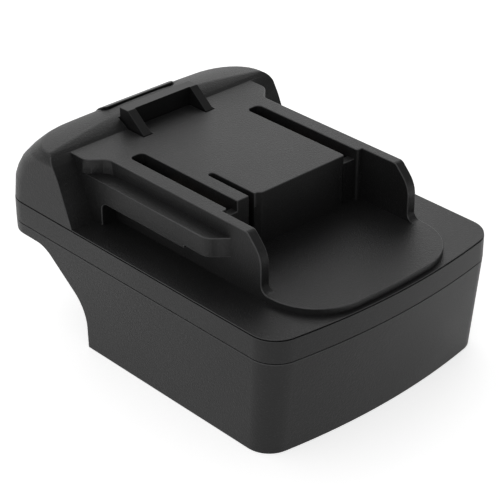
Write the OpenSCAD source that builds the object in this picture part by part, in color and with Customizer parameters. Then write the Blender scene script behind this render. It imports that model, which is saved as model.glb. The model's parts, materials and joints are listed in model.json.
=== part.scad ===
// Battery adapter for cordless tools.
// The upper side slides into a tool nose first, and a battery pack slides into the
// socket below from the rear. X is the width, +Y points to the rear, +Z is up, and
// the origin is in the middle of the lower rim's plane.

/* [Body] */
// Width of the body at the plate
body_w = 82; // [80:0.5:86]
// Length from the tip of the nose to the rear end
body_l = 111; // [109:0.5:116]
// Height of the plate that the rails stand on
plate_z = 35.5; // [34.9:0.1:37]
// Radius of the bowed nose, seen from above
nose_r = 208; // [180:2:260]
// Radius of the four corners, seen from above
corner_r = 8; // [7:0.25:10]
// Wall of the upper case
wall = 2.4; // [2.2:0.1:2.6]
// How far the lower rim lies behind the tip of the nose
nose_draft = 2.7; // [1.5:0.1:3.5]
// Thin shadow line between the mouldings
seam = 0.3; // [0.2:0.05:0.4]

/* [Rails and deck] */
// Deck above the plate
deck_h = 17.3; // [16.8:0.1:18.5]
// Thickness of the deck
deck_t = 2.8; // [2.5:0.1:3]
// Width over the two rail ribs
rail_w = 66.2; // [65:0.2:68]
// Width of the deck between the ribs
web_w = 56.6; // [56:0.2:58]
// Clear height under a rib
rib_gap = 6.8; // [6.3:0.1:7.6]
// Height of a rib
rib_h = 6.3; // [5.5:0.1:7]
// Thickness of the ears in front of the deck
ear_t = 2.9; // [2.3:0.1:3]
// Height of the raised disc on the nose
disc_h = 1.9; // [1.5:0.1:2.4]

/* [Terminal slots] */
// From the side of the deck to the middle of a long slot
slot_edge = 6.925; // [6.8:0.025:7.05]
// Width of a long slot
slot_w = 4.55; // [4.4:0.05:4.9]
// From the left long slot to the short data slot
data_step = 7.275; // [7:0.025:7.5]
// Width of the data slot
data_w = 2; // [1.8:0.1:2.2]
// Depth of the long slots' sill at the front
sill_h = 3.1; // [3.1:0.1:4]
// Depth of the data slot at the front
data_h = 11; // [8:0.5:12]

/* [Hump and latch] */
// Ridge of the hump above the deck
hump_h = 2.7; // [2.5:0.1:3]
// Radius of the hump's shoulders, seen from the front
shoulder_r = 3; // [2.75:0.25:3.5]
// Radius of the crown across the hump
crown_r = 405; // [385:5:425]
// Radius of the rear ends of the ridge, seen from above
end_r = 18; // [16:0.5:20]
// Roll of the hump towards the deck
front_roll_r = 12; // [11.5:0.25:12.5]
// Roll of the hump towards the rear
rear_roll_r = 7.2; // [7:0.1:7.6]
// Width of the latch tab
tab_w = 25.4; // [24:0.2:26.4]
// Latch tab above the deck
tab_h = 5.2; // [4.6:0.1:5.4]
// Thickness of the tab's cheeks
cheek_t = 2.75; // [2.4:0.05:3]
// Travel of the latch
latch_travel = 5.5; // [5.4:0.1:5.8]
// Free space around moving faces
play = 0.35; // [0.3:0.01:0.4]
// Width of the thumb button
button_w = 25.6; // [24.6:0.2:26.8]

/* [Pack socket] */
// Wall of the lower case
skirt_t = 2.6; // [2.4:0.1:2.8]
// Thickness of the socket's ceiling
ceiling_t = 2.6; // [2.4:0.1:2.7]
// How far the pack rails reach in from the walls
pack_rail_in = 4.6; // [4.2:0.1:5]
// Lower face of the pack rails
pack_rail_z = 9; // [8:0.25:10]
// Height of the pack rails
pack_rail_h = 4; // [3.5:0.25:4.5]
// Thickness of the blades
blade_t = 0.8; // [0.6:0.05:1]

/* [Fasteners and leads] */
// Radius of the case screws
screw_r = 1.45; // [1.3:0.05:1.5]
// Radius of the power leads with their jacket
lead_r = 1.1; // [0.9:0.05:1.2]
// Wire of the latch springs
spring_wire = 0.7; // [0.6:0.05:0.8]
// Turns of a latch spring
spring_turns = 8; // [6:1:8]

/* [Hidden] */
$fn = 48;
hw = body_w / 2;
hl = body_l / 2;
web_hw = web_w / 2;
rail_hw = rail_w / 2;
deck_z = plate_z + deck_h;
ridge_z = deck_z + hump_h;
shelf_z = plate_z + rib_gap + rib_h;
rib_z = plate_z + rib_gap;
disc_z = plate_z + disc_h;
sill_z = deck_z - sill_h;
deck_low_z = deck_z - deck_t;
ceiling_z = plate_z - 10.3;
bay_z = ceiling_z + ceiling_t;
web_z = plate_z - 5;
web_t = 2;
web_top_z = web_z + web_t;
plate_low_z = plate_z - 2.5;
lip_z = plate_z - 0.25;
lip_w = 1.2;
fit = 0.1;
part_z = plate_z - 7.2;
chamber_hw = web_hw - wall;
slot_x = web_hw - slot_edge;
data_x = data_step - slot_x;
// Places along Y: from the tip of the nose, or forward from the rear end
function nd(d) = d - hl;
function rd(r) = hl - r;
ear_foot_y = nd(18.7);
ear_bend_y = nd(20.9);
ear_top_y = nd(25.9);
rib_tip_y = nd(31.9);
rib_full_y = nd(36);
rail_step_y = nd(38.1);
block_y = nd(38.4);
pillar_y = nd(39.3);
rib_notch_y = nd(44.3);
data_rear_y = nd(55.3);
slot_rear_y = rd(34.4);
skirt_rear_y = rd(34.1);
channel_rear_y = rd(33.6);
cheek_y = rd(27.5);
tab_wall_y = rd(20.6);
tab_rear_y = rd(17.4);
ridge_y = rd(12.5);
button_y = rd(11.2);
rear_lean = 34;
front_lean = 23;
front_y = rd(21.3) + roll(front_roll_r, front_lean, hump_h);
ear_in = web_hw - ear_t;
slot_in = slot_x - slot_w / 2;
slot_out = slot_x + slot_w / 2;
data_in = data_x + data_w / 2;
data_out = data_x - data_w / 2;
block_right = slot_in;
chamber_y = block_y + wall + 0.9;
latch_top_z = deck_low_z - play;
latch_t = 3;
latch_low_z = latch_top_z - latch_t;
button_low_z = ridge_z - 9.8;
button_proud = 0.35;
window_low_z = button_low_z - latch_travel - 0.4;
skirt_low_z = window_low_z - 1;
spring_x = 8;
spring_y = rd(13.2);
spring_r = 2.65;
peg_r = 1.8;
nose_screw = [24, nd(10.7)];
rear_screw = [hw - 9, rd(12.2)];
screw_head_r = 2.7;
screw_head_h = 1.3;
screw_top_z = plate_z + 0.7;
head_seat_z = ceiling_z + screw_head_h + 0.1;
tower_low_y = chamber_y + 3;
tower_rear_y = slot_rear_y - 4.8;
tower_z = deck_z - 11.8;
tower_hw = min(slot_w / 2 + 1.1, chamber_hw - 0.3 - slot_x);
clip_rear_y = tower_rear_y - 5.5;
clip_top_z = deck_z - 4.5;
clip_sheet = 0.6;
clip_hw = slot_w / 2 - 0.45;
board_hw = slot_x - tower_hw - 1.4;
board_y = chamber_y + 4.6;
board_l = 27;
board_t = 1.6;
board_z = web_top_z + 2;
board_top_z = board_z + board_t;
block_hw = 16;
term_front_y = nd(10.7);
term_rear_y = nd(28.7);
term_low_z = ceiling_z - 15.2;
blade_x = 10;
blade_low_z = term_low_z + 2.2;
blade_high_z = blade_low_z + 8;
blade_back_y = nd(16.5);
blade_tip_y = nd(42.5);
tail_y = nd(19.5);
tail_z = bay_z + 2;
lead_z = bay_z + lead_r + 0.2;
lead_bend = 3.2;
riser_y = tower_rear_y + 4;
data_lead_r = 0.7;
data_riser_y = board_y - lead_bend;
case_grey = [0.09, 0.09, 0.095];
frame_grey = [0.07, 0.07, 0.075];
copper = [0.8, 0.5, 0.3];
brass = [0.8, 0.68, 0.4];
steel = [0.7, 0.71, 0.73];

// Points along an arc from angle a to angle b
function arc(o, r, a, b, n = 10) =
  [for (i = [0:n]) o + r * [cos(a + (b - a) * i / n), sin(a + (b - a) * i / n)]];

// Points of a rounded corner at b, between a and c
function corner(a, b, c, r, n) =
  let (
    u = (a - b) / norm(a - b),
    v = (c - b) / norm(c - b),
    half = acos(u * v) / 2,
    o = b + (u + v) / norm(u + v) * r / sin(half),
    p = b + u * r / tan(half) - o,
    q = b + v * r / tan(half) - o,
    from = atan2(p[1], p[0]),
    turn = atan2(q[1], q[0]) - from,
    sweep = turn > 180 ? turn - 360 : turn < -180 ? turn + 360 : turn
  )
  arc(o, r, from, from + sweep, n);

// Closed outline whose corners, given as [x, y, radius], are rounded
function rounded(pts, n = 7) =
  let (m = len(pts))
  [for (i = [0:m - 1])
    let (
      a = pts[(i + m - 1) % m],
      b = pts[i],
      c = pts[(i + 1) % m],
      flat = [b[0], b[1]]
    )
    each b[2] > 0 ? corner([a[0], a[1]], flat, [c[0], c[1]], b[2], n) : [flat]
  ];

// Nose outline from the left side to the right: a bow between two corners of radius r
function nose(w, tip, bow, r) =
  let (
    mid = tip + bow,
    cy = mid - sqrt(pow(bow - r, 2) - pow(w - r, 2)),
    turn = 360 + atan2(cy - mid, -(w - r))
  )
  concat(
    arc([-(w - r), cy], r, 180, turn),
    arc([0, mid], bow, turn, 540 - turn, 16),
    arc([w - r, cy], r, 540 - turn, 360)
  );

// Body seen from above, drawn in by e all round and by f more at the nose
function plan(e = 0, f = 0) =
  let (w = hw - e, r = max(corner_r - e, 1.2))
  concat(
    arc([w - r, hl - e - r], r, 0, 90),
    arc([-(w - r), hl - e - r], r, 90, 180),
    nose(w, -hl + e + f, nose_r - e, r)
  );

module slab(low, high, e = 0, f = 0)
  translate([0, 0, low])
    linear_extrude(high - low)
      polygon(plan(e, f));

module box(low, high)
  translate(low)
    cube(high - low);

// Sweeps a side profile, drawn as [y, z], from one X to another
module across(low, high)
  translate([low, 0, 0])
    rotate([90, 0, 90])
      linear_extrude(high - low)
        children();

module post(at, r, low, high)
  translate([at[0], at[1], low])
    cylinder(r = r, h = high - low);

module both_sides()
  for (side = [0, 1])
    mirror([side, 0, 0])
      children();

module at_case_screws()
  both_sides()
    for (at = [nose_screw, rear_screw])
      translate(at)
        children();

// Everything above the sloping parting line between the frame and the lower case
module above_parting()
  box([-hw - 5, -hl - 20, part_z], [hw + 5, hl + 20, part_z + 30]);

// Run-out of a rolled edge at a depth below its top
function roll(r, lean, d) =
  let (turn = r * (1 - sin(lean)))
  d < turn
    ? sqrt(r * r - (r - d) * (r - d))
    : r * cos(lean) + (d - turn) * tan(lean);

// Levels of the hump as [z, half width]: a crowned top, round shoulders, then the end walls
function hump_levels(e, low) =
  let (
    a = asin((hw - 0.3 - shoulder_r) / (crown_r - shoulder_r)),
    c = crown_r - e,
    r = shoulder_r - e,
    x = (crown_r - shoulder_r) * sin(a),
    z = ridge_z - crown_r + (crown_r - shoulder_r) * cos(a)
  )
  concat(
    [for (k = [0.3, 0.5, 0.65, 0.8, 0.9]) [ridge_z - crown_r + c * cos(k * a), c * sin(k * a)]],
    [for (i = [0:11]) let (t = a + (86 - a) * i / 11) [z + r * cos(t), x + r * sin(t)]],
    [for (k = [0.2:0.2:1]) [z + k * (plate_z - z), hw - 0.3 * (1 - k) - e]],
    [[low + 0.02, hw - e]]
  );

// Level section of the hump: square towards the deck, rounded towards the rear
module hump_level(z, x, e) {
  d = max(ridge_z - e - z, 0.02);
  front = front_y - roll(front_roll_r - e, front_lean, d);
  rear = min(ridge_y + roll(rear_roll_r - e, rear_lean, d), hl - e);
  c = z > plate_z ? corner_r + 1 : corner_r;
  a = min(c - e + (end_r - c) * max(0, 1 - d / 6.5), x - 0.1);
  b = min(a, 0.87 * (rear - front));
  translate([0, 0, z - 0.02])
    linear_extrude(0.02)
      polygon(concat(
        [[-x, front], [x, front]],
        [for (t = [0:9:90]) [x - a + a * cos(t), rear - b + b * sin(t)]],
        [for (t = [90:9:180]) [-x + a + a * cos(t), rear - b + b * sin(t)]]
      ));
}

// The hump above a level, drawn in by e
module hump(e, low)
  hull()
    for (at = hump_levels(e, low))
      hump_level(at[0], at[1], e);

// Outline of the disc on the nose, which follows the bow
function disc_plan() =
  concat(
    [[-web_hw, block_y + 2], [-web_hw, ear_bend_y + 1.5]],
    nose(web_hw, -hl + 1.3, nose_r, 16),
    [[web_hw, ear_bend_y + 1.5], [web_hw, block_y + 2]]
  );

// Outline of the deck, which widens in a smooth step at its rear
function deck_plan() =
  rounded([
    [web_hw, pillar_y, 0],
    [web_hw, channel_rear_y + 2.1, 3.6],
    [rail_hw, channel_rear_y + 6.1, 3.6],
    [rail_hw, ridge_y, 0],
    [-rail_hw, ridge_y, 0],
    [-rail_hw, channel_rear_y + 6.1, 3.6],
    [-web_hw, channel_rear_y + 2.1, 3.6],
    [-web_hw, pillar_y, 0]
  ]);

// Side view of an ear with its sloped top and flared foot
function ear_side() =
  let (r = ear_bend_y - ear_foot_y)
  concat(
    [[block_y + 3, plate_z], [ear_foot_y, plate_z]],
    arc([ear_foot_y, disc_z + r], r, -90, 0, 6),
    corner([ear_bend_y, disc_z], [ear_bend_y, deck_z - 5.3], [ear_top_y, deck_z], 8, 6),
    corner([ear_bend_y, deck_z - 5.3], [ear_top_y, deck_z], [block_y + 3, deck_z], 2, 5),
    [[block_y + 3, deck_z]]
  );

module ears()
  both_sides()
    across(ear_in, web_hw)
      polygon(ear_side());

// Rail rib with a tapered lead-in and a raised underside at its front
module ribs()
  both_sides()
    difference() {
      translate([0, 0, rib_z])
        linear_extrude(rib_h)
          polygon(rounded([
            [web_hw - 1, rib_tip_y, 0],
            [web_hw, rib_tip_y, 0],
            [rail_hw, rib_full_y, 4],
            [rail_hw, ridge_y, 0],
            [web_hw - 1, ridge_y, 0]
          ]));
      box([web_hw, rib_tip_y - 5, rib_z - 1], [rail_hw + 1, rib_notch_y, rib_z + 0.8]);
    }

// Block below the deck, with stepped front faces beside the slots
module contact_block() {
  translate([0, 0, plate_low_z])
    linear_extrude(deck_z - plate_low_z)
      polygon(rounded([
        [web_hw, rail_step_y, 0],
        [web_hw, ridge_y, 0],
        [-web_hw, ridge_y, 0],
        [-web_hw, rail_step_y, 0],
        [-slot_out, rail_step_y, 0.8],
        [-slot_out, pillar_y, 0],
        [data_in, pillar_y, 0],
        [data_in + 0.1, block_y + 1.6, 0],
        [data_in + 2, block_y, 1.2],
        [block_right, block_y, 0.8],
        [block_right, pillar_y, 0],
        [slot_out, pillar_y, 0],
        [slot_out, rail_step_y, 0.8]
      ], 4));
  translate([0, 0, shelf_z - 0.01])
    linear_extrude(deck_z - shelf_z + 0.01)
      polygon(deck_plan());
  box([-rail_hw, channel_rear_y, plate_low_z], [rail_hw, ridge_y, shelf_z]);
}

// Rounded top corner of the pocket under a rib
module pocket_corner() {
  r = 2.2;
  across(web_hw - 1, rail_hw)
    translate([channel_rear_y, rib_z])
      polygon(concat(
        arc([-r, -r], r, 0, 90, 6),
        [[-r, 0.5], [0.5, 0.5], [0.5, -r]]
      ));
}

module long_slot(low)
  translate([0, 0, low])
    linear_extrude(deck_z + 1 - low)
      polygon(rounded([
        [slot_in, block_y - 3, 0],
        [slot_out, block_y - 3, 0],
        [slot_out, slot_rear_y, 1.5],
        [slot_in, slot_rear_y, 1.5]
      ]));

// Walls that guide a tool's blade below the deck
module slot_collar()
  difference() {
    box([slot_in - 1, chamber_y - 0.01, deck_z - 7], [slot_out + 1, slot_rear_y + 1, deck_low_z + 0.01]);
    box([slot_in, chamber_y - 1, deck_z - 8], [slot_out, slot_rear_y, deck_low_z + 1]);
  }

module data_slot(low)
  translate([0, 0, low])
    linear_extrude(deck_z + 1 - low)
      polygon(rounded([
        [data_out, block_y - 3, 0],
        [data_in, block_y - 3, 0],
        [data_in, data_rear_y, 0.9],
        [data_out, data_rear_y, 0.9]
      ]));

// Upright prism over the button's plan, grown by e
module button_plan(e, low) {
  hw = button_w / 2 + e;
  translate([0, 0, low])
    linear_extrude(ridge_z + 1 - low)
      polygon(rounded([
        [-hw, button_y - e, 1.6 + e],
        [hw, button_y - e, 1.6 + e],
        [hw, hl + 1, 0],
        [-hw, hl + 1, 0]
      ]));
}

// Room for the latch tab's U in the deck and the hump, and for the button
module latch_cuts() {
  tab_hw = tab_w / 2;
  box(
    [-tab_hw - play, tab_wall_y - play, deck_low_z - 4],
    [tab_hw + play, tab_rear_y + play, ridge_z + 1]
  );
  both_sides()
    box(
      [tab_hw - cheek_t - play, cheek_y - play, deck_low_z - 4],
      [tab_hw + play, tab_rear_y, ridge_z + 1]
    );
  box([-tab_hw, cheek_y, deck_z], [tab_hw, tab_wall_y, ridge_z + 1]);
  button_plan(play, window_low_z);
}

module top_case()
  color(case_grey)
    difference() {
      union() {
        difference() {
          union() {
            slab(lip_z, plate_z, fit);
            slab(plate_low_z, plate_z, lip_w + fit);
            translate([0, 0, plate_z - 0.5])
              linear_extrude(disc_h + 0.5)
                polygon(disc_plan());
            ears();
            ribs();
            contact_block();
            both_sides()
              pocket_corner();
            hump(fit, lip_z);
          }
          box([-chamber_hw, chamber_y, plate_low_z - 1], [chamber_hw, ridge_y, deck_low_z]);
          hump(wall, plate_low_z - 1);
        }
        intersection() {
          both_sides()
            post(rear_screw, 3.5, web_top_z, ridge_z);
          hump(fit, web_top_z);
        }
        both_sides()
          post(nose_screw, 3.5, web_top_z, plate_z);
        box([-chamber_hw, cheek_y - 4, deck_low_z], [chamber_hw, tab_wall_y + 1, deck_z]);
        both_sides()
          slot_collar();
      }
      both_sides()
        long_slot(sill_z);
      data_slot(deck_z - data_h);
      latch_cuts();
      at_case_screws()
        post([0, 0], screw_r, web_top_z - 1, screw_top_z + 0.5);
    }

// Contact tower that carries one clip into its slot
module tower()
  difference() {
    box(
      [slot_x - tower_hw, tower_low_y, web_top_z - 0.01],
      [slot_x + tower_hw, tower_rear_y, tower_z]
    );
    box(
      [slot_x - tower_hw + 1.2, tower_low_y + 1.2, web_z - 1],
      [slot_x + tower_hw - 1.2, tower_rear_y - 1.2, tower_z - 1.6]
    );
  }

module board_posts(r, low, high)
  for (at = [[board_hw - 3, 3.2], [-board_hw + 3, board_l - 3.2], [board_hw - 3, board_l - 3.2]])
    post([at[0], board_y + at[1]], r, low, high);

module middle_frame()
  color(frame_grey)
    difference() {
      union() {
        difference() {
          slab(part_z - 1, lip_z);
          slab(part_z - 2, plate_z, wall);
          slab(plate_low_z, plate_z, lip_w);
          difference() {
            slab(lip_z - seam, plate_z, -1);
            slab(lip_z - seam - 1, plate_z + 1, 0.6);
          }
        }
        slab(web_z, web_top_z, wall - 0.01);
        both_sides()
          tower();
        both_sides()
          post([spring_x, spring_y], peg_r, web_z, web_top_z + 3);
        board_posts(2.4, web_z, board_z);
      }
      difference() {
        translate([0, -2, 0])
          slab(part_z - 9, part_z + 4, -6);
        above_parting();
      }
      difference() {
        translate([0, 0, seam])
          difference() {
            slab(part_z - 9, part_z + 4, -6);
            above_parting();
          }
        slab(part_z - 10, part_z + 5, 0.6);
      }
      both_sides()
        box(
          [slot_x - 2, riser_y - 2.2, web_z - 1],
          [slot_x + 2, riser_y + 2.2, web_top_z + 1]
        );
      box([-2, data_riser_y - 3, web_z - 1], [2, data_riser_y + 2, web_top_z + 1]);
      at_case_screws()
        post([0, 0], screw_r + 0.25, web_z - 1, web_top_z + 1);
      board_posts(1, web_z + 0.6, board_z + 1);
    }

// Side view of the cut that opens the socket to the rear
function rear_cut() =
  rounded([
    [skirt_rear_y, -1, 0],
    [skirt_rear_y, 12.15 * ceiling_z / 25.2, 12],
    [skirt_rear_y + 16.8, ceiling_z, 10],
    [hl + 5, ceiling_z, 0],
    [hl + 5, -1, 0]
  ], 9);

// Body of the lower case, drawn in by e, from its rim up
module skirt(e)
  hull() {
    slab(-0.02, 0, 0.7 + e, nose_draft - 0.7);
    slab(part_z + 0.6, part_z + 0.62, e);
  }

module pack_rails()
  intersection() {
    both_sides()
      translate([0, 0, pack_rail_z])
        linear_extrude(pack_rail_h)
          polygon([
            [hw, term_rear_y - 14],
            [hw, skirt_rear_y],
            [hw - skirt_t - pack_rail_in + 3, skirt_rear_y],
            [hw - skirt_t - pack_rail_in, skirt_rear_y - 6],
            [hw - skirt_t - pack_rail_in, term_rear_y - 14]
          ]);
    skirt(0.5);
  }

module lower_case()
  color(case_grey)
    difference() {
      union() {
        difference() {
          intersection() {
            skirt(0);
            slab(0, part_z + 2, -1);
          }
          above_parting();
          intersection() {
            skirt(skirt_t);
            slab(-1, ceiling_z, -1);
          }
          slab(bay_z, part_z + 3, skirt_t);
          across(-hw - 1, hw + 1)
            polygon(rear_cut());
        }
        pack_rails();
        at_case_screws()
          post([0, 0], 3.5, bay_z - 0.5, web_z);
      }
      at_case_screws() {
        post([0, 0], screw_r + 0.25, ceiling_z - 1, web_z + 1);
        post([0, 0], screw_head_r + 0.25, ceiling_z - 1, head_seat_z);
      }
      at_block_screws()
        post([0, 0], screw_r, ceiling_z - 1, bay_z + 1);
      blade_tails(0.1);
      both_sides()
        box(
          [hw - skirt_t - 1, nd(58), pack_rail_z + pack_rail_h + 2],
          [hw - 1.2, nd(66), pack_rail_z + pack_rail_h + 7]
        );
    }

// Side view of the thumb button, whose face stands d outside the hump
function button_side(d) =
  let (
    o = [ridge_y, ridge_z - rear_roll_r],
    r = rear_roll_r + d,
    rise = acos((button_y - o[0]) / r),
    face_y = o[0] + r / cos(rear_lean) + (o[1] - button_low_z) * tan(rear_lean),
    back = arc(o, r, rear_lean, rise - 6, 6),
    top = [button_y, o[1] + r * sin(rise)]
  )
  concat(
    [[button_y, latch_low_z], [face_y - 4, button_low_z], [face_y, button_low_z]],
    back,
    corner(back[len(back) - 1], top, [button_y, latch_low_z], 0.4, 3)
  );

// Side view of the skirt that closes the window below the button
function latch_skirt_side() =
  let (
    o = [ridge_y, ridge_z - rear_roll_r],
    out = rear_roll_r - wall - play - 0.1,
    back = hl - wall - play - 0.1,
    t = 1.6,
    y = function(z, r) o[0] + r / cos(rear_lean) + (o[1] - z) * tan(rear_lean),
    bend = function(y, r) o[1] - (y - o[0] - r / cos(rear_lean)) / tan(rear_lean),
    top = button_low_z + 3.5
  )
  [
    [back - t, skirt_low_z],
    [back, skirt_low_z],
    [back, bend(back, out)],
    [y(top, out), top],
    [y(top, out - t), top],
    [back - t, bend(back - t, out - t)]
  ];

module release_latch()
  color(frame_grey)
    difference() {
      union() {
        tab_hw = tab_w / 2;
        box([-tab_hw, tab_wall_y, latch_low_z], [tab_hw, tab_rear_y, deck_z + tab_h]);
        both_sides()
          across(tab_hw - cheek_t, tab_hw)
            polygon([
              [cheek_y, latch_low_z],
              [cheek_y, deck_z],
              [tab_wall_y - 0.3, deck_z + tab_h],
              [tab_rear_y, deck_z + tab_h],
              [tab_rear_y, latch_low_z]
            ]);
        box([-tab_hw, cheek_y, latch_low_z], [tab_hw, ridge_y + 3, latch_top_z]);
        box([-tab_hw, ridge_y, latch_low_z], [tab_hw, button_y + 1.5, latch_top_z - 1.5]);
        intersection() {
          across(-button_w / 2, button_w / 2)
            polygon(button_side(button_proud));
          button_plan(0, button_low_z - 1);
        }
        across(-button_w / 2 - 1.5, button_w / 2 + 1.5)
          polygon(latch_skirt_side());
        both_sides()
          post([spring_x, spring_y], peg_r, latch_low_z - 2.5, latch_low_z + 1);
      }
      // Three grip grooves across the thumb face
      for (i = [0:2])
        let (
          z = button_low_z + 2 + i * 1.9,
          y = ridge_y + (rear_roll_r + button_proud) / cos(rear_lean) + (ridge_z - rear_roll_r - z) * tan(rear_lean)
        )
        across(-button_w / 2 + 3, button_w / 2 - 3)
          translate([y + 0.25, z])
            circle(r = 0.6, $fn = 16);
    }

// Spring wire as one tube along a helix between its two seats
module coil(low, high) {
  steps = 16;
  sides = 6;
  wire = spring_wire / 2;
  n = spring_turns * steps;
  rise = high - low - spring_wire;
  ring = [for (i = [0:n])
    let (a = 360 * i / steps)
    [for (j = [0:sides - 1])
      let (b = 360 * j / sides, r = spring_r + wire * cos(b))
      [r * cos(a), r * sin(a), low + wire + rise * i / n + wire * sin(b)]
    ]
  ];
  last = n * sides;
  polyhedron(
    points = [for (r = ring) each r],
    faces = concat(
      [[for (j = [0:sides - 1]) j]],
      [for (i = [0:n - 1], j = [0:sides - 1])
        let (k = (j + 1) % sides)
        [i * sides + j, (i + 1) * sides + j, (i + 1) * sides + k, i * sides + k]
      ],
      [[for (j = [sides - 1:-1:0]) last + j]]
    )
  );
}

spring_gap = (latch_low_z - web_top_z - spring_wire) / spring_turns - spring_wire;
echo(least_gap_between_spring_turns = spring_gap);

module latch_spring(side)
  color(steel)
    translate([side * spring_x, spring_y, 0])
      coil(web_top_z, latch_low_z);

// End view of a contact clip, whose two leaves pinch together near their tops
function clip_end(t, out, low, pinch, top) =
  let (
    right = [
      [out, low],
      [out, low + 2.2],
      [pinch + t, top - 2.4],
      [pinch + t + 0.7, top],
      [pinch + 0.7, top],
      [pinch, top - 2.4],
      [out - t, low + 2.3],
      [out - t, low + t]
    ],
    n = len(right) - 1
  )
  concat(right, [for (i = [n:-1:0]) [-right[i][0], right[i][1]]]);

module clip(side)
  color(copper)
    translate([side * slot_x, clip_rear_y, 0])
      difference() {
        union() {
          rotate([90, 0, 0])
            linear_extrude(clip_rear_y - tower_low_y - 1)
              polygon(clip_end(clip_sheet, clip_hw, tower_z, 0.3, clip_top_z));
          box([-clip_hw, -1, tower_z], [clip_hw, 5, tower_z + clip_sheet]);
        }
        for (i = [1:3])
          translate([-5, -i * (clip_rear_y - tower_low_y - 1) / 4 - 0.4, tower_z + 2.2])
            cube([10, 0.8, 12]);
      }

// Steel clamp that hugs the lower leaves of a clip
module clip_clamp(side)
  color(steel)
    translate([side * slot_x, clip_rear_y - 4, tower_z])
      rotate([90, 0, 0])
        linear_extrude(clip_rear_y - tower_low_y - 9)
          for (m = [0, 1])
            mirror([m, 0])
              polygon([[clip_hw, 0], [clip_hw + 0.4, 0], [clip_hw + 0.4, 2.2], [clip_hw, 2.2]]);

module data_clip()
  color(copper)
    translate([data_x, data_rear_y - 4.5, 0])
      rotate([90, 0, 0])
        linear_extrude(8)
          polygon(clip_end(0.35, 0.85, board_top_z, 0.2, clip_top_z));

module circuit_board()
  color([0.05, 0.3, 0.16])
    difference() {
      box([-board_hw, board_y, board_z], [board_hw, board_y + board_l, board_top_z]);
      board_posts(1.2, board_z - 1, board_top_z + 1);
    }

module control_chip()
  color([0.05, 0.05, 0.05]) {
    at = [1.5, board_y + 13];
    box([at[0] - 2, at[1] - 2.5, board_top_z + 0.2], [at[0] + 2, at[1] + 2.5, board_top_z + 1.7]);
    for (i = [-1.5:1:1.5])
      box([at[0] - 3.1, at[1] + i * 1.27 - 0.2, board_top_z], [at[0] + 3.1, at[1] + i * 1.27 + 0.2, board_top_z + 0.5]);
  }

module power_transistors()
  color([0.08, 0.08, 0.085])
    for (i = [0, 1])
      translate([8.6 - board_hw + i * 9, board_y + 22, board_top_z]) {
        box([-3.3, -3, 0], [3.3, 3, 2.3]);
        box([-2.7, 3, 0], [2.7, 4.6, 0.6]);
        for (j = [-2.3, 2.3])
          box([j - 0.4, -5.2, 0], [j + 0.4, -3, 0.7]);
      }

module board_capacitor()
  color([0.1, 0.12, 0.2])
    translate([8.4, board_y + 13.5, board_top_z]) {
      cylinder(r = 3.15, h = 0.8);
      cylinder(r = 2.9, h = 7.5);
      cylinder(r = 3.15, h = 6.9);
    }

module chip_resistors()
  color([0.12, 0.12, 0.13])
    for (i = [0:3])
      translate([-6 + i * 3.4, board_y + 5.5, board_top_z])
        box([-0.65, -1.05, 0], [0.65, 1.05, 0.55]);

module board_screws()
  color(steel)
    difference() {
      union() {
        board_posts(1, web_z + 0.8, board_top_z);
        board_posts(2, board_top_z, board_top_z + 1.2);
      }
      board_posts(0.9, board_top_z + 0.5, board_top_z + 2);
    }

// Places of the two screws that hold the terminal block
module at_block_screws()
  both_sides()
    translate([block_hw - 2.8, term_rear_y - 3.5, 0])
      children();

// Outline of one blade with its tail: the foot lies in the block, the tip in the socket
module blade(x, g = 0)
  across(x - blade_t / 2 - g, x + blade_t / 2 + g)
    polygon([
      [blade_back_y, blade_low_z],
      [blade_tip_y - 1.6, blade_low_z],
      [blade_tip_y, blade_low_z + 1.6],
      [blade_tip_y, blade_high_z - 1.6],
      [blade_tip_y - 1.6, blade_high_z],
      [tail_y, blade_high_z],
      [tail_y, tail_z],
      [blade_back_y, tail_z]
    ]);

data_blade_x = [-4, 0, 4];

// Slots in the ceiling for the blades' tails
module blade_tails(g)
  for (x = concat([-blade_x, blade_x], data_blade_x))
    box(
      [x - blade_t / 2 - g, blade_back_y - g, ceiling_z - 1],
      [x + blade_t / 2 + g, tail_y + g, bay_z + 1]
    );

module terminal_block()
  color([0.06, 0.06, 0.065])
    difference() {
      translate([0, 0, term_low_z])
        linear_extrude(ceiling_z - term_low_z)
          polygon(rounded([
            [block_hw, term_front_y, 2],
            [block_hw, term_rear_y, 1],
            [-block_hw, term_rear_y, 1],
            [-block_hw, term_front_y, 2]
          ], 5));
      for (x = concat([-blade_x, blade_x], data_blade_x))
        blade(x);
      at_block_screws()
        post([0, 0], screw_r, ceiling_z - 8, ceiling_z + 1);
      both_sides()
        box(
          [block_hw - 3.4, term_rear_y - 1.4, term_low_z - 1],
          [block_hw + 1, term_rear_y + 1, ceiling_z - 4]
        );
    }

module positive_blade()
  color(brass)
    blade(-blade_x);

module negative_blade()
  color(brass)
    blade(blade_x);

module data_blades()
  color(brass)
    for (x = data_blade_x)
      blade(x);

module block_screws()
  color(steel)
    at_block_screws()
      difference() {
        union() {
          post([0, 0], screw_r, ceiling_z - 7.5, bay_z);
          post([0, 0], 2.5, bay_z, bay_z + 1.5);
        }
        post([0, 0], 1.1, bay_z + 0.6, bay_z + 2);
      }

// Quarter bend of a lead in the local XY plane
module bend(r)
  rotate_extrude(angle = 90)
    translate([lead_bend, 0])
      circle(r = r, $fn = 24);

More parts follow.
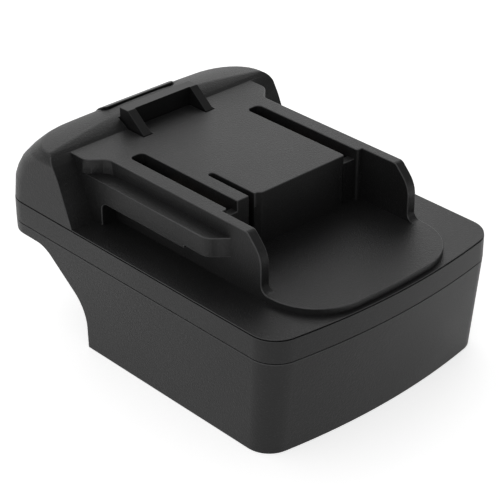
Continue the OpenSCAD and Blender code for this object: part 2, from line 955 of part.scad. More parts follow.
// Power lead: out of the blade's tail, back along the bay, up behind the tower
// and forward onto the clip's tab
module power_lead() {
  start_x = blade_x + blade_t / 2;
  run_y = (blade_back_y + tail_y) / 2;
  end_z = tower_z + clip_sheet + lead_r;
  translate([start_x, run_y, lead_z])
    rotate([0, 90, 0])
      cylinder(r = lead_r, h = slot_x - lead_bend - start_x, $fn = 24);
  translate([slot_x - lead_bend, run_y + lead_bend, lead_z])
    rotate([0, 0, -90])
      bend(lead_r);
  translate([slot_x, run_y + lead_bend, lead_z])
    rotate([-90, 0, 0])
      cylinder(r = lead_r, h = riser_y - lead_bend - run_y - lead_bend, $fn = 24);
  translate([slot_x, riser_y - lead_bend, lead_z + lead_bend])
    rotate([0, 90, 0])
      bend(lead_r);
  translate([slot_x, riser_y, lead_z + lead_bend])
    cylinder(r = lead_r, h = end_z - lead_z - 2 * lead_bend, $fn = 24);
  translate([slot_x, riser_y - lead_bend, end_z - lead_bend])
    rotate([90, 0, 90])
      bend(lead_r);
  translate([slot_x, riser_y - lead_bend, end_z])
    rotate([90, 0, 0])
      cylinder(r = lead_r, h = 3, $fn = 24);
}

module positive_lead()
  color([0.6, 0.05, 0.05])
    mirror([1, 0, 0])
      power_lead();

module negative_lead()
  color([0.05, 0.05, 0.055])
    power_lead();

// Data lead: from the middle blade's tail back along the bay and up onto the board
module data_lead()
  color([0.85, 0.75, 0.2]) {
    low = bay_z + data_lead_r + 0.4;
    high = board_top_z + data_lead_r;
    translate([0, tail_y, low])
      rotate([-90, 0, 0])
        cylinder(r = data_lead_r, h = data_riser_y - lead_bend - tail_y, $fn = 24);
    translate([0, data_riser_y - lead_bend, low + lead_bend])
      rotate([0, 90, 0])
        bend(data_lead_r);
    translate([0, data_riser_y, low + lead_bend])
      cylinder(r = data_lead_r, h = high - low - 2 * lead_bend, $fn = 24);
    translate([0, data_riser_y + lead_bend, high - lead_bend])
      rotate([90, 0, -90])
        bend(data_lead_r);
    translate([0, data_riser_y + lead_bend, high])
      rotate([-90, 0, 0])
        cylinder(r = data_lead_r, h = 2.5, $fn = 24);
  }

// Screws with a cross recess, heads sunk in the ceiling of the socket
module case_screws()
  color(steel)
    at_case_screws()
      difference() {
        union() {
          post([0, 0], screw_r, head_seat_z - 0.5, screw_top_z);
          post([0, 0], screw_head_r, head_seat_z - screw_head_h, head_seat_z);
        }
        for (a = [0, 90])
          rotate([0, 0, a])
            box([-1.5, -0.3, head_seat_z - 2], [1.5, 0.3, head_seat_z - 0.5]);
      }

top_case();
middle_frame();
lower_case();
release_latch();
latch_spring(-1);  // latch_spring_left
latch_spring(1);  // latch_spring_right
clip(-1);  // positive_clip
clip(1);  // negative_clip
clip_clamp(-1);  // positive_clip_clamp
clip_clamp(1);  // negative_clip_clamp
data_clip();
circuit_board();
control_chip();
power_transistors();
board_capacitor();
chip_resistors();
board_screws();
terminal_block();
positive_blade();
negative_blade();
data_blades();
block_screws();
positive_lead();
negative_lead();
data_lead();
case_screws();
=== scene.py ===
import json
import math

import bmesh
import bpy
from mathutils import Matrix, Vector
from mathutils.bvhtree import BVHTree
from mathutils.geometry import intersect_point_line


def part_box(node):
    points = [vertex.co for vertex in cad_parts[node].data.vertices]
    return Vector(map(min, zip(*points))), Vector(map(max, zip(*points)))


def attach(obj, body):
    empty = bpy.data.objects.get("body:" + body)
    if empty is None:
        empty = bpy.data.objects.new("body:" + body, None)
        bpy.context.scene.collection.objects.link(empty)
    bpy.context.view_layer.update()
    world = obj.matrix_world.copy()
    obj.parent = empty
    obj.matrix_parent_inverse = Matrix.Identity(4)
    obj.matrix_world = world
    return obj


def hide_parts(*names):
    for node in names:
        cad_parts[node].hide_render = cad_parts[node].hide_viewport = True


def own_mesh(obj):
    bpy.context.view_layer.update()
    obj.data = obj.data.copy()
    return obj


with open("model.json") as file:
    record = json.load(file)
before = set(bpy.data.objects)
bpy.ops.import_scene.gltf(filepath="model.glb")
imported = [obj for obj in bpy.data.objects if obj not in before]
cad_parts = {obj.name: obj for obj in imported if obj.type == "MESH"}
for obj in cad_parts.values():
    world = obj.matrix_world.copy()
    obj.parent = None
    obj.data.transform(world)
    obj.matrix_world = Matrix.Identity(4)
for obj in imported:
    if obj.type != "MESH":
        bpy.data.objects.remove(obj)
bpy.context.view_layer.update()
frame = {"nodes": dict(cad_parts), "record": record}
nodes = frame["nodes"]
mm = 0.001
print("frame loaded:", len(nodes), "nodes")


# camera at the photograph's place, worked out from the photograph's edges
cameraSetup = {
    "place": (-292.57, -311.85, 272.82),  # millimetres
    "target": (0.46, -0.05, 23.72),
    "lens": 130.0,
    "sensor": 36.0,
    "clip": (0.01, 20),  # metres
}


def makeCamera(setup):
    data = bpy.data.cameras.new("photoCamera")
    data.lens = setup["lens"]
    data.sensor_width = setup["sensor"]
    data.sensor_fit = "AUTO"
    data.clip_start, data.clip_end = setup["clip"]
    camera = bpy.data.objects.new("photoCamera", data)
    bpy.context.scene.collection.objects.link(camera)
    place = Vector(setup["place"]) * mm
    look = Vector(setup["target"]) * mm - place
    camera.location = place
    camera.rotation_euler = look.to_track_quat("-Z", "Y").to_euler()
    bpy.context.scene.camera = camera


makeCamera(cameraSetup)
print("camera placed")


# shader helpers
def newGroup(name, inputs, outputs):
    group = bpy.data.node_groups.new(name, "ShaderNodeTree")
    for socketName, kind, value in inputs:
        socket = group.interface.new_socket(socketName, in_out="INPUT", socket_type=kind)
        socket.default_value = value
    for socketName, kind in outputs:
        group.interface.new_socket(socketName, in_out="OUTPUT", socket_type=kind)
    return group, group.nodes.new("NodeGroupInput"), group.nodes.new("NodeGroupOutput")


def mathNode(tree, operation, a, b, clamp=False):
    node = tree.nodes.new("ShaderNodeMath")
    node.operation = operation
    node.use_clamp = clamp
    for index, value in enumerate((a, b)):
        if isinstance(value, (int, float)):
            node.inputs[index].default_value = value
        else:
            tree.links.new(value, node.inputs[index])
    return node.outputs[0]


def noiseNode(tree, vector, scale, detail=2.0, rough=0.5):
    node = tree.nodes.new("ShaderNodeTexNoise")
    node.inputs["Detail"].default_value = detail
    node.inputs["Roughness"].default_value = rough
    tree.links.new(vector, node.inputs["Vector"])
    if isinstance(scale, (int, float)):
        node.inputs["Scale"].default_value = scale
    else:
        tree.links.new(scale, node.inputs["Scale"])
    return node.outputs["Fac"]


def rampNode(tree, value, low, high):
    node = tree.nodes.new("ShaderNodeMapRange")
    node.interpolation_type = "SMOOTHSTEP"
    node.inputs["From Min"].default_value = low
    node.inputs["From Max"].default_value = high
    tree.links.new(value, node.inputs["Value"])
    return node.outputs["Result"]


def mapValue(tree, value, low, high):
    node = tree.nodes.new("ShaderNodeMapRange")
    node.inputs["To Min"].default_value = low
    node.inputs["To Max"].default_value = high
    tree.links.new(value, node.inputs["Value"])
    return node.outputs["Result"]


# weighted sum of two values
def blend(tree, a, shareA, b, shareB):
    return mathNode(tree, "ADD", mathNode(tree, "MULTIPLY", a, shareA), mathNode(tree, "MULTIPLY", b, shareB))


# eroded mould grain: two sizes of bump, and small bright specks
grainMix = {"coarse": 0.65, "fine": 0.35, "fineScale": 2.7, "speckScale": 1.1, "speckRange": (0.62, 0.74)}


def makeSparkGrain():
    group, gIn, gOut = newGroup(
        "sparkGrain",
        [("Scale", "NodeSocketFloat", 2400.0)],
        [("Height", "NodeSocketFloat"), ("Speck", "NodeSocketFloat")],
    )
    coord = group.nodes.new("ShaderNodeTexCoord").outputs["Object"]
    scale = gIn.outputs["Scale"]
    coarse = noiseNode(group, coord, scale, 3.0, 0.6)
    fine = noiseNode(group, coord, mathNode(group, "MULTIPLY", scale, grainMix["fineScale"]), 2.0, 0.5)
    height = blend(group, coarse, grainMix["coarse"], fine, grainMix["fine"])
    group.links.new(height, gOut.inputs["Height"])
    speckNoise = noiseNode(group, coord, mathNode(group, "MULTIPLY", scale, grainMix["speckScale"]), 1.0, 0.5)
    group.links.new(rampNode(group, speckNoise, *grainMix["speckRange"]), gOut.inputs["Speck"])
    return group


# slow drift of tone and gloss over a moulding
def makeToneDrift():
    group, gIn, gOut = newGroup(
        "toneDrift",
        [("Scale", "NodeSocketFloat", 30.0)],
        [("Drift", "NodeSocketFloat")],
    )
    coord = group.nodes.new("ShaderNodeTexCoord").outputs["Object"]
    drift = noiseNode(group, coord, gIn.outputs["Scale"], 3.0, 0.55)
    group.links.new(rampNode(group, drift, 0.3, 0.7), gOut.inputs["Drift"])
    return group


# painted edge highlight, with some edge wear: the rounded strips that carry the edgeWear attribute get a bright
# colour, broken up by noise
rubAndHighlightBreaks = {"scale": 260.0, "range": (0.3, 1.0)}


def makeEdgeRubAndHighlight():
    group, gIn, gOut = newGroup(
        "edgeRub",
        [("Amount", "NodeSocketFloat", 1.0)],
        [("Rub", "NodeSocketFloat")],
    )
    wearAndHighlight = group.nodes.new("ShaderNodeAttribute")
    wearAndHighlight.attribute_name = "edgeWear"
    coord = group.nodes.new("ShaderNodeTexCoord").outputs["Object"]
    broken = mapValue(group, noiseNode(group, coord, rubAndHighlightBreaks["scale"], 3.0, 0.6), *rubAndHighlightBreaks["range"])
    strips = mathNode(group, "MULTIPLY", wearAndHighlight.outputs["Fac"], broken)
    rub = mathNode(group, "MULTIPLY", strips, gIn.outputs["Amount"], True)
    group.links.new(rub, gOut.inputs["Rub"])
    return group


sparkGrain = makeSparkGrain()
toneDrift = makeToneDrift()
edgeRub = makeEdgeRubAndHighlight()


def groupNode(tree, group, **values):
    node = tree.nodes.new("ShaderNodeGroup")
    node.node_tree = group
    for name, value in values.items():
        node.inputs[name].default_value = value
    return node


def mixColour(tree, fac, a, b):
    node = tree.nodes.new("ShaderNodeMix")
    node.data_type = "RGBA"
    tree.links.new(fac, node.inputs["Factor"])
    for socket, value in ((node.inputs["A"], a), (node.inputs["B"], b)):
        if isinstance(value, tuple):
            socket.default_value = (*value, 1.0)
        else:
            tree.links.new(value, socket)
    return node.outputs["Result"]


def newMaterial(name):
    material = bpy.data.materials.new(name)
    material.use_nodes = True
    tree = material.node_tree
    return material, tree, tree.nodes["Principled BSDF"]


def addBump(tree, shader, height, strength, depth):
    bump = tree.nodes.new("ShaderNodeBump")
    bump.inputs["Strength"].default_value = strength
    bump.inputs["Distance"].default_value = depth
    tree.links.new(height, bump.inputs["Height"])
    tree.links.new(bump.outputs["Normal"], shader.inputs["Normal"])


# moulded plastic, from spark-eroded to satin
# rubbed is a bright colour painted along the rounded edges as a highlight, with some edge wear, and it also tints
# the bright specks; rub sets how strong that painted edge highlight is
plasticFinishes = {
    "caseBlack": {
        "dark": (0.0115, 0.0115, 0.0117), "light": (0.0138, 0.0138, 0.014), "rubbed": (0.11, 0.11, 0.112),
        "grain": 1800.0, "bump": 0.75, "rough": (0.36, 0.41), "rub": 0.85,
    },
    "frameBlack": {
        "dark": (0.011, 0.011, 0.0112), "light": (0.0132, 0.0132, 0.0134), "rubbed": (0.11, 0.11, 0.112),
        "grain": 1900.0, "bump": 0.7, "rough": (0.36, 0.41), "rub": 0.7,
    },
    "latchBlack": {
        "dark": (0.0072, 0.0072, 0.0074), "light": (0.0088, 0.0088, 0.009), "rubbed": (0.03, 0.03, 0.031),
        "grain": 3200.0, "bump": 0.1, "rough": (0.33, 0.38), "rub": 0.5,
    },
    "blockBlack": {
        "dark": (0.006, 0.006, 0.0062), "light": (0.008, 0.008, 0.0082), "rubbed": (0.025, 0.025, 0.026),
        "grain": 3600.0, "bump": 0.08, "rough": (0.34, 0.42), "rub": 0.3,
    },
    "componentBlack": {
        "dark": (0.012, 0.012, 0.0125), "light": (0.018, 0.018, 0.0185), "rubbed": (0.04, 0.04, 0.04),
        "grain": 5200.0, "bump": 0.15, "rough": (0.5, 0.62), "rub": 0.2,
    },
    "capacitorSleeve": {
        "dark": (0.03, 0.04, 0.1), "light": (0.04, 0.05, 0.13), "rubbed": (0.08, 0.09, 0.17),
        "grain": 4200.0, "bump": 0.06, "rough": (0.24, 0.34), "rub": 0.2,
    },
    "boardGreen": {
        "dark": (0.012, 0.12, 0.055), "light": (0.02, 0.17, 0.08), "rubbed": (0.09, 0.27, 0.16),
        "grain": 1500.0, "bump": 0.12, "rough": (0.28, 0.38), "rub": 0.3,
    },
    "leadRed": {
        "dark": (0.36, 0.015, 0.012), "light": (0.46, 0.025, 0.02), "rubbed": (0.55, 0.1, 0.09),
        "grain": 3000.0, "bump": 0.08, "rough": (0.38, 0.5), "rub": 0.1,
    },
    "leadBlack": {
        "dark": (0.012, 0.012, 0.0125), "light": (0.018, 0.018, 0.0185), "rubbed": (0.04, 0.04, 0.04),
        "grain": 3000.0, "bump": 0.08, "rough": (0.38, 0.5), "rub": 0.1,
    },
    "leadYellow": {
        "dark": (0.55, 0.4, 0.04), "light": (0.65, 0.48, 0.07), "rubbed": (0.7, 0.6, 0.25),
        "grain": 3000.0, "bump": 0.08, "rough": (0.38, 0.5), "rub": 0.1,
    },
}
plasticLook = {"drift": 32.0, "speck": 0.15, "grainDepth": 0.0002, "gloss": 0.37}  # shared by all plastics


def makePlastic(name, finish):
    material, tree, shader = newMaterial(name)
    grain = groupNode(tree, sparkGrain, Scale=finish["grain"])
    drift = groupNode(tree, toneDrift, Scale=plasticLook["drift"])
    rub = groupNode(tree, edgeRub, Amount=finish["rub"])
    tone = mixColour(tree, drift.outputs["Drift"], finish["dark"], finish["light"])
    speck = mathNode(tree, "MULTIPLY", grain.outputs["Speck"], plasticLook["speck"])
    speckled = mixColour(tree, speck, tone, finish["rubbed"])
    # painted highlight along the rounded edges, with some edge wear, in the rubbed colour
    wornAndHighlighted = mixColour(tree, rub.outputs["Rub"], speckled, finish["rubbed"])
    tree.links.new(wornAndHighlighted, shader.inputs["Base Color"])
    tree.links.new(mapValue(tree, drift.outputs["Drift"], *finish["rough"]), shader.inputs["Roughness"])
    addBump(tree, shader, grain.outputs["Height"], finish["bump"], plasticLook["grainDepth"])
    shader.inputs["Specular IOR Level"].default_value = plasticLook["gloss"]
    return material


# metals with fine drawn or rolled lines
metalFinishes = {
    "springSteel": {
        "dark": (0.4, 0.4, 0.42), "light": (0.62, 0.62, 0.64),
        "rough": (0.22, 0.36), "lines": (300, 300, 2600),
    },
    "screwSteel": {
        "dark": (0.36, 0.36, 0.38), "light": (0.55, 0.55, 0.57),
        "rough": (0.28, 0.42), "lines": (1800, 1800, 400),
    },
    "contactCopper": {
        "dark": (0.2, 0.15, 0.12), "light": (0.4, 0.3, 0.24),
        "rough": (0.32, 0.48), "lines": (900, 160, 900),
    },
    "bladeBrass": {
        "dark": (0.58, 0.43, 0.2), "light": (0.78, 0.63, 0.36),
        "rough": (0.22, 0.38), "lines": (900, 160, 900),
    },
}
metalLook = {"drift": 120.0, "share": 0.5, "bump": 0.12, "lineDepth": 0.00004}  # shared by all metals


def makeMetal(name, finish):
    material, tree, shader = newMaterial(name)
    coord = tree.nodes.new("ShaderNodeTexCoord").outputs["Object"]
    mapping = tree.nodes.new("ShaderNodeMapping")
    mapping.inputs["Scale"].default_value = finish["lines"]
    tree.links.new(coord, mapping.inputs["Vector"])
    lines = noiseNode(tree, mapping.outputs["Vector"], 1.0, 3.0, 0.6)
    drift = groupNode(tree, toneDrift, Scale=metalLook["drift"])
    both = blend(tree, lines, metalLook["share"], drift.outputs["Drift"], metalLook["share"])
    tree.links.new(mixColour(tree, both, finish["dark"], finish["light"]), shader.inputs["Base Color"])
    tree.links.new(mapValue(tree, both, *finish["rough"]), shader.inputs["Roughness"])
    shader.inputs["Metallic"].default_value = 1.0
    addBump(tree, shader, lines, metalLook["bump"], metalLook["lineDepth"])
    return material


materials = {name: makePlastic(name, finish) for name, finish in plasticFinishes.items()}
materials.update({name: makeMetal(name, finish) for name, finish in metalFinishes.items()})
print("materials made:", len(materials))


def camelName(name):
    first, *rest = name.split("_")
    return first + "".join(word.capitalize() for word in rest)


# each record slot is dressed by the material of the same name
slotOfNode = {part["node"]: part["material_slot"] for part in frame["record"]["subparts"]}


def dress(piece, slot):
    piece.data.materials.clear()
    piece.data.materials.append(materials[camelName(slot)])


for nodeName, node in nodes.items():
    dress(node, slotOfNode[nodeName])


def focus(piece):
    bpy.ops.object.select_all(action="DESELECT")
    piece.hide_set(False)
    piece.select_set(True)
    bpy.context.view_layer.objects.active = piece


def editMode(piece, selectMode="EDGE"):
    focus(piece)
    bpy.ops.object.mode_set(mode="EDIT")
    bpy.ops.mesh.select_mode(type=selectMode)


# how edges are chosen for rounding; room, short and strip count in widths of the rounding
rounding = {"room": 1.6, "short": 2.2, "strip": 0.8, "weld": 2e-5, "flat": 0.4, "fineSharp": 40, "fineSteps": 2}
nearlyAhead = 0.7  # cosine of about 45 degrees
rayStart = 0.15 * mm


# the room on a face beside one of its edges: its reach, or the way to an edge across it
def roomBeside(face, edge):
    loop = next(loop for loop in edge.link_loops if loop.face is face)
    start, end = loop.vert.co, loop.link_loop_next.vert.co
    along = (end - start).normalized()
    inward = face.normal.cross(along)
    room = max((corner.co - start).dot(inward) for corner in face.verts)
    spots = [start.lerp(end, part) for part in (0.25, 0.5, 0.75)]
    for other in face.edges:
        first, last = (corner.co for corner in other.verts)
        if edge.verts[0] in other.verts or edge.verts[1] in other.verts:
            continue
        for spot in spots:
            part = intersect_point_line(spot, first, last)[1]
            step = first.lerp(last, min(max(part, 0.0), 1.0)) - spot
            if step.dot(inward) > nearlyAhead * step.length:
                room = min(room, step.length)
    return room


# the solids as one tree of faces, and directions in which light can leave a point
def solidTree():
    corners = []
    faces = []
    for node in nodes.values():
        first = len(corners)
        corners.extend(corner.co.copy() for corner in node.data.vertices)
        faces.extend([first + index for index in face.vertices] for face in node.data.polygons)
    return BVHTree.FromPolygons(corners, faces)


allSolids = solidTree()
openDirections = [
    Vector((x, y, z)).normalized()
    for x in (-1, 0, 1) for y in (-1, 0, 1) for z in (-1, 0, 1)
    if (x, y, z) != (0, 0, 0)
]


def seenFromOutside(edge):
    normal = (edge.link_faces[0].normal + edge.link_faces[1].normal).normalized()
    point = (edge.verts[0].co + edge.verts[1].co) / 2 + normal * rayStart
    return any(allSolids.ray_cast(point, direction)[0] is None for direction in openDirections)


# convex edges that a mould rounds off; narrow strips and short corner edges stay as they are
def edgesToRound(mesh, setup, offset, sharp):
    chosen = set()
    for edge in mesh.edges:
        if len(edge.link_faces) != 2 or not edge.is_convex:
            continue
        if edge.calc_face_angle() < math.radians(sharp):
            continue
        if min(roomBeside(face, edge) for face in edge.link_faces) < rounding["room"] * offset:
            continue
        if setup["outerOnly"] and not seenFromOutside(edge):
            continue
        chosen.add(edge)
    short = set()
    for edge in chosen:
        if edge.calc_length() > rounding["short"] * offset:
            continue
        for corner in edge.verts:
            ahead = (corner.co - edge.other_vert(corner).co).normalized()
            onward = [
                (other.other_vert(corner).co - corner.co).normalized().dot(ahead)
                for other in corner.link_edges if other in chosen and other is not edge
            ]
            if not onward or max(onward) < nearlyAhead:
                short.add(edge)
    return chosen - short


def roundEdges(piece, setup, offset, sharp, steps):
    bpy.ops.mesh.select_all(action="DESELECT")
    mesh = bmesh.from_edit_mesh(piece.data)
    chosen = edgesToRound(mesh, setup, offset * mm, sharp)
    for edge in chosen:
        edge.select = True
    bmesh.update_edit_mesh(piece.data)
    if not chosen:
        return
    bpy.ops.mesh.bevel(offset=offset * mm, segments=steps, profile=0.5, clamp_overlap=False)
    mesh = bmesh.from_edit_mesh(piece.data)
    # the rounded strips are marked for the painted edge highlight, with some edge wear
    wearAndHighlight = mesh.faces.layers.float.get("edgeWear") or mesh.faces.layers.float.new("edgeWear")
    for face in mesh.faces:
        longest = max(edge.calc_length() for edge in face.edges)
        if face.select and face.calc_area() < rounding["strip"] * offset * mm * longest:
            face[wearAndHighlight] = 1.0
    bmesh.update_edit_mesh(piece.data)


# a piece copied from its solid, with its edges rounded
def mouldFromNode(setup):
    node = nodes[setup["node"]]
    piece = bpy.data.objects.new(setup["name"], node.data.copy())
    bpy.context.scene.collection.objects.link(piece)
    editMode(piece)
    bpy.ops.mesh.select_all(action="SELECT")
    bpy.ops.mesh.remove_doubles(threshold=rounding["weld"])
    bpy.ops.mesh.dissolve_limited(angle_limit=math.radians(rounding["flat"]))
    roundEdges(piece, setup, setup["edge"], setup["sharp"], setup["steps"])
    if "fineEdge" in setup:
        roundEdges(piece, setup, setup["fineEdge"], rounding["fineSharp"], rounding["fineSteps"])
    bpy.ops.object.mode_set(mode="OBJECT")
    bpy.ops.object.shade_smooth_by_angle(angle=math.radians(setup["smooth"]))
    bpy.ops.object.modifier_add(type="WEIGHTED_NORMAL")
    piece.modifiers[-1].keep_sharp = True
    bpy.ops.object.modifier_apply(modifier=piece.modifiers[-1].name)
    dress(piece, slotOfNode[setup["node"]])
    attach(piece, setup["body"])
    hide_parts(setup["node"])
    return piece


mouldings = [
    {"name": "topCaseMoulding", "node": "top_case", "body": "housing", "edge": 0.25, "steps": 3,
     "fineEdge": 0.09},
    {"name": "frameMoulding", "node": "middle_frame", "body": "housing", "edge": 0.12, "steps": 2},
    {"name": "lowerCaseMoulding", "node": "lower_case", "body": "housing", "edge": 0.25, "steps": 3},
    {"name": "latchMoulding", "node": "release_latch", "body": "latch", "edge": 0.15, "steps": 3,
     "sharp": 24, "smooth": 22},
]
for setup in mouldings:
    piece = mouldFromNode({"sharp": 42, "smooth": 34, "outerOnly": True, **setup})
    print("moulding", setup["name"], len(piece.data.polygons), "faces")


# small parts inside: edge breaks in millimetres
smallParts = {
    "positive_clip": 0.08, "negative_clip": 0.08, "data_clip": 0.08,
    "positive_clip_clamp": 0.08, "negative_clip_clamp": 0.08,
    "circuit_board": 0.1, "control_chip": 0.1, "power_transistors": 0.15, "board_capacitor": 0.25,
    "chip_resistors": 0.06, "board_screws": 0.1, "block_screws": 0.1, "case_screws": 0.1,
    "terminal_block": 0.2, "positive_blade": 0.12, "negative_blade": 0.12, "data_blades": 0.1,
}


for nodeName, edge in smallParts.items():
    mouldFromNode({"name": camelName(nodeName), "node": nodeName, "body": "housing", "edge": edge,
                   "steps": 2, "sharp": 24, "smooth": 32, "outerOnly": False})
print("small parts:", len(smallParts))


# latch springs, wound with closed end turns
springShape = {"wire": 0.7, "turns": 8, "steps": 24, "sides": 12, "smooth": 45, "travel": 5.5}


def makeSpring(name, nodeName, shape):
    low, high = (Vector(corner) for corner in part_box(nodeName))
    thick = shape["wire"] * mm
    radius = (high.x - low.x - thick) / 2
    tall = high.z - low.z - thick
    pitch = tall / shape["turns"]
    bpy.ops.object.select_all(action="DESELECT")
    bpy.ops.mesh.primitive_circle_add(vertices=shape["sides"], radius=thick / 2, rotation=(math.pi / 2, 0, 0))
    piece = bpy.context.object
    piece.name = name
    bpy.ops.object.transform_apply(location=False, rotation=True, scale=False)
    editMode(piece, "VERT")
    bpy.ops.mesh.select_all(action="SELECT")
    bpy.ops.transform.translate(value=(radius, 0, 0))
    bpy.ops.object.mode_set(mode="OBJECT")
    bpy.ops.object.modifier_add(type="SCREW")
    winding = piece.modifiers[-1]
    winding.axis = "Z"
    winding.screw_offset = pitch
    winding.iterations = shape["turns"]
    winding.steps = winding.render_steps = shape["steps"]
    bpy.ops.object.modifier_apply(modifier=winding.name)
    last = shape["turns"] - 1
    middle = (low + high) / 2
    for corner in piece.data.vertices:  # close the first and last turn, then set the coil in its seat
        part = math.atan2(corner.co.y, corner.co.x) / (2 * math.pi) % 1
        turn = round(corner.co.z / pitch - part) + part
        if turn < 1:
            level = thick * turn
        elif turn > last:
            level = tall - thick * (shape["turns"] - turn)
        else:
            level = thick + (tall - 2 * thick) * (turn - 1) / (last - 1)
        corner.co.z += level - pitch * turn + low.z + thick / 2
        corner.co.x += middle.x
        corner.co.y += middle.y
    editMode(piece)
    bpy.ops.mesh.select_all(action="SELECT")
    bpy.ops.mesh.fill_holes(sides=0)
    bpy.ops.mesh.select_all(action="SELECT")
    bpy.ops.mesh.normals_make_consistent(inside=False)
    bpy.ops.object.mode_set(mode="OBJECT")
    bpy.ops.object.shade_smooth_by_angle(angle=math.radians(shape["smooth"]))
    dress(piece, "spring_steel")
    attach(piece, "housing")
    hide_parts(nodeName)
    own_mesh(piece)


makeSpring("latchSpringLeft", "latch_spring_left", springShape)
makeSpring("latchSpringRight", "latch_spring_right", springShape)
print("springs wound")


# leads: a jacket with bare copper ends, along the solids' routes; radii and lengths in millimetres
leadShape = {
    "power": 1.1, "data": 0.7, "core": 0.66,  # core as a share of the jacket
    "bend": 3.2, "bare": 1.6, "powerEnd": 3.0, "dataEnd": 2.5, "smooth": 40, "weld": 1e-6,
}


def roundedRoute(corners, bend, steps=8):
    route = [corners[0]]
    for before, corner, after in zip(corners, corners[1:], corners[2:]):
        into = (corner - before).normalized()
        out = (after - corner).normalized()
        centre = corner - into * bend + out * bend
        for index in range(steps + 1):
            angle = math.pi / 2 * index / steps
            route.append(centre - out * bend * math.cos(angle) + into * bend * math.sin(angle))
    return route + [corners[-1]]


def makeTube(name, corners, radius, slot):
    route = roundedRoute(corners, leadShape["bend"] * mm)
    path = bpy.data.curves.new(name, "CURVE")
    path.dimensions = "3D"
    path.bevel_depth = radius * mm
    path.bevel_resolution = 4
    path.use_fill_caps = True
    line = path.splines.new("POLY")
    line.points.add(len(route) - 1)
    for point, place in zip(line.points, route):
        point.co = (*place, 1.0)
    piece = bpy.data.objects.new(name, path)
    bpy.context.scene.collection.objects.link(piece)
    focus(piece)
    bpy.ops.object.convert(target="MESH")
    piece = bpy.context.object
    editMode(piece)
    bpy.ops.mesh.select_all(action="SELECT")
    bpy.ops.mesh.remove_doubles(threshold=leadShape["weld"])
    bpy.ops.mesh.normals_make_consistent(inside=False)
    bpy.ops.object.mode_set(mode="OBJECT")
    bpy.ops.object.shade_smooth_by_angle(angle=math.radians(leadShape["smooth"]))
    dress(piece, slot)
    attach(piece, "housing")
    return piece


def makeLead(nodeName, corners, radius):
    bare = leadShape["bare"] * mm
    first = corners[0] + (corners[1] - corners[0]).normalized() * bare
    final = corners[-1] + (corners[-2] - corners[-1]).normalized() * bare
    slot = slotOfNode[nodeName]
    jacket = makeTube(camelName(nodeName), [first, *corners[1:-1], final], radius, slot)
    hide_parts(nodeName)
    for ending, stretch in (("Start", [corners[0], first]), ("End", [final, corners[-1]])):
        core = makeTube(camelName(nodeName) + ending, stretch, radius * leadShape["core"], "contact_copper")


def powerRoute(nodeName, side):
    low, high = (Vector(corner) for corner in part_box(nodeName))
    r = leadShape["power"] * mm
    startX, slotX = (low.x, high.x - r) if side > 0 else (high.x, low.x + r)
    runY, riserY = low.y + r, high.y - r
    runZ, endZ = low.z + r, high.z - r
    lastY = riserY - (leadShape["bend"] + leadShape["powerEnd"]) * mm
    return [Vector(place) for place in (
        (startX, runY, runZ), (slotX, runY, runZ), (slotX, riserY, runZ),
        (slotX, riserY, endZ), (slotX, lastY, endZ),
    )]


def dataRoute(nodeName):
    low, high = (Vector(corner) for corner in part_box(nodeName))
    r = leadShape["data"] * mm
    middleX = (low.x + high.x) / 2
    riserY = high.y - (leadShape["bend"] + leadShape["dataEnd"]) * mm
    return [Vector(place) for place in (
        (middleX, low.y, low.z + r), (middleX, riserY, low.z + r),
        (middleX, riserY, high.z - r), (middleX, high.y, high.z - r),
    )]


makeLead("positive_lead", powerRoute("positive_lead", -1), leadShape["power"])
makeLead("negative_lead", powerRoute("negative_lead", 1), leadShape["power"])
makeLead("data_lead", dataRoute("data_lead"), leadShape["data"])
print("leads laid")


# studio: pale floor, a room with one dim side, and a softbox at the back right
studio = {
    "floorSize": 6.0,
    "floorColour": (0.8, 0.8, 0.8),
    "floorRough": 0.9,
    "floorGloss": 0.1,
    "floorGlow": 0.42,
    "floorWhite": 0.25,  # more, for the camera alone
    "worldLight": 0.68,
    "darkLight": 0.28,  # the dim side of the room
    "darkSide": (0.5, -0.75, 0.45),
    "darkReach": (0.3, 0.8),
    "softbox": {"name": "backSoftbox", "place": (0.8, 0.85, 0.62), "aim": (0, 0, 0.03), "size": 1.5, "power": 3.0},
}


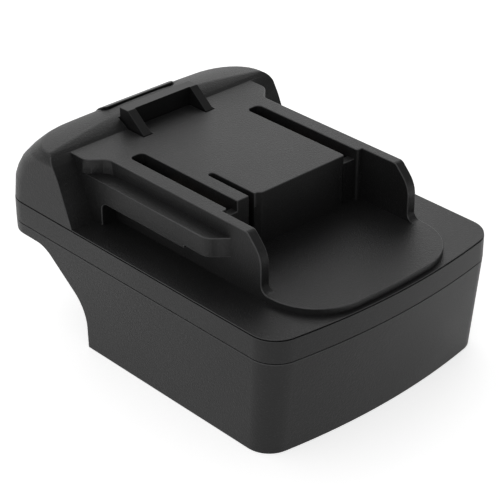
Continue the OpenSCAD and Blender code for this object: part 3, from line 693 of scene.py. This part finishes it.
def makeFloor(setup):
    bpy.ops.object.select_all(action="DESELECT")
    bpy.ops.mesh.primitive_plane_add(size=setup["floorSize"], location=(0, 0, 0))
    floor = bpy.context.object
    floor.name = "studioFloor"
    material, tree, shader = newMaterial("studioFloor")
    shader.inputs["Base Color"].default_value = (*setup["floorColour"], 1.0)
    shader.inputs["Roughness"].default_value = setup["floorRough"]
    shader.inputs["Specular IOR Level"].default_value = setup["floorGloss"]
    rays = tree.nodes.new("ShaderNodeLightPath")
    seen = mathNode(tree, "ADD", rays.outputs["Is Camera Ray"], rays.outputs["Is Glossy Ray"], True)
    seen = mathNode(tree, "ADD", seen, rays.outputs["Is Transmission Ray"], True)
    shader.inputs["Emission Color"].default_value = (1, 1, 1, 1)
    glow = mathNode(tree, "MULTIPLY", seen, setup["floorGlow"])
    white = mathNode(tree, "MULTIPLY", rays.outputs["Is Camera Ray"], setup["floorWhite"])
    tree.links.new(mathNode(tree, "ADD", glow, white), shader.inputs["Emission Strength"])
    floor.data.materials.append(material)


def makeWorld(setup):
    world = bpy.data.worlds.new("studioWorld")
    bpy.context.scene.world = world
    world.use_nodes = True
    tree = world.node_tree
    background = tree.nodes["Background"]
    background.inputs["Color"].default_value = (1, 1, 1, 1)
    rays = tree.nodes.new("ShaderNodeLightPath")
    seen = mathNode(tree, "ADD", rays.outputs["Is Camera Ray"], rays.outputs["Is Transmission Ray"], True)
    towards = tree.nodes.new("ShaderNodeVectorMath")
    towards.operation = "DOT_PRODUCT"
    towards.inputs[1].default_value = setup["darkSide"]
    tree.links.new(tree.nodes.new("ShaderNodeTexCoord").outputs["Generated"], towards.inputs[0])
    side = rampNode(tree, towards.outputs["Value"], *setup["darkReach"])
    room = mapValue(tree, side, setup["worldLight"], setup["darkLight"])
    lift = mathNode(tree, "MULTIPLY", mathNode(tree, "SUBTRACT", 1.0, room), seen)
    tree.links.new(mathNode(tree, "ADD", room, lift), background.inputs["Strength"])


def makeLamp(setup):
    data = bpy.data.lights.new(setup["name"], "AREA")
    data.shape = "DISK"
    data.size = setup["size"]
    data.energy = setup["power"]
    lamp = bpy.data.objects.new(setup["name"], data)
    bpy.context.scene.collection.objects.link(lamp)
    lamp.location = setup["place"]
    look = Vector(setup["aim"]) - lamp.location
    lamp.rotation_euler = look.to_track_quat("-Z", "Y").to_euler()


makeFloor(studio)
makeWorld(studio)
makeLamp(studio["softbox"])
bpy.context.scene.view_settings.view_transform = "Standard"
print("studio lit")
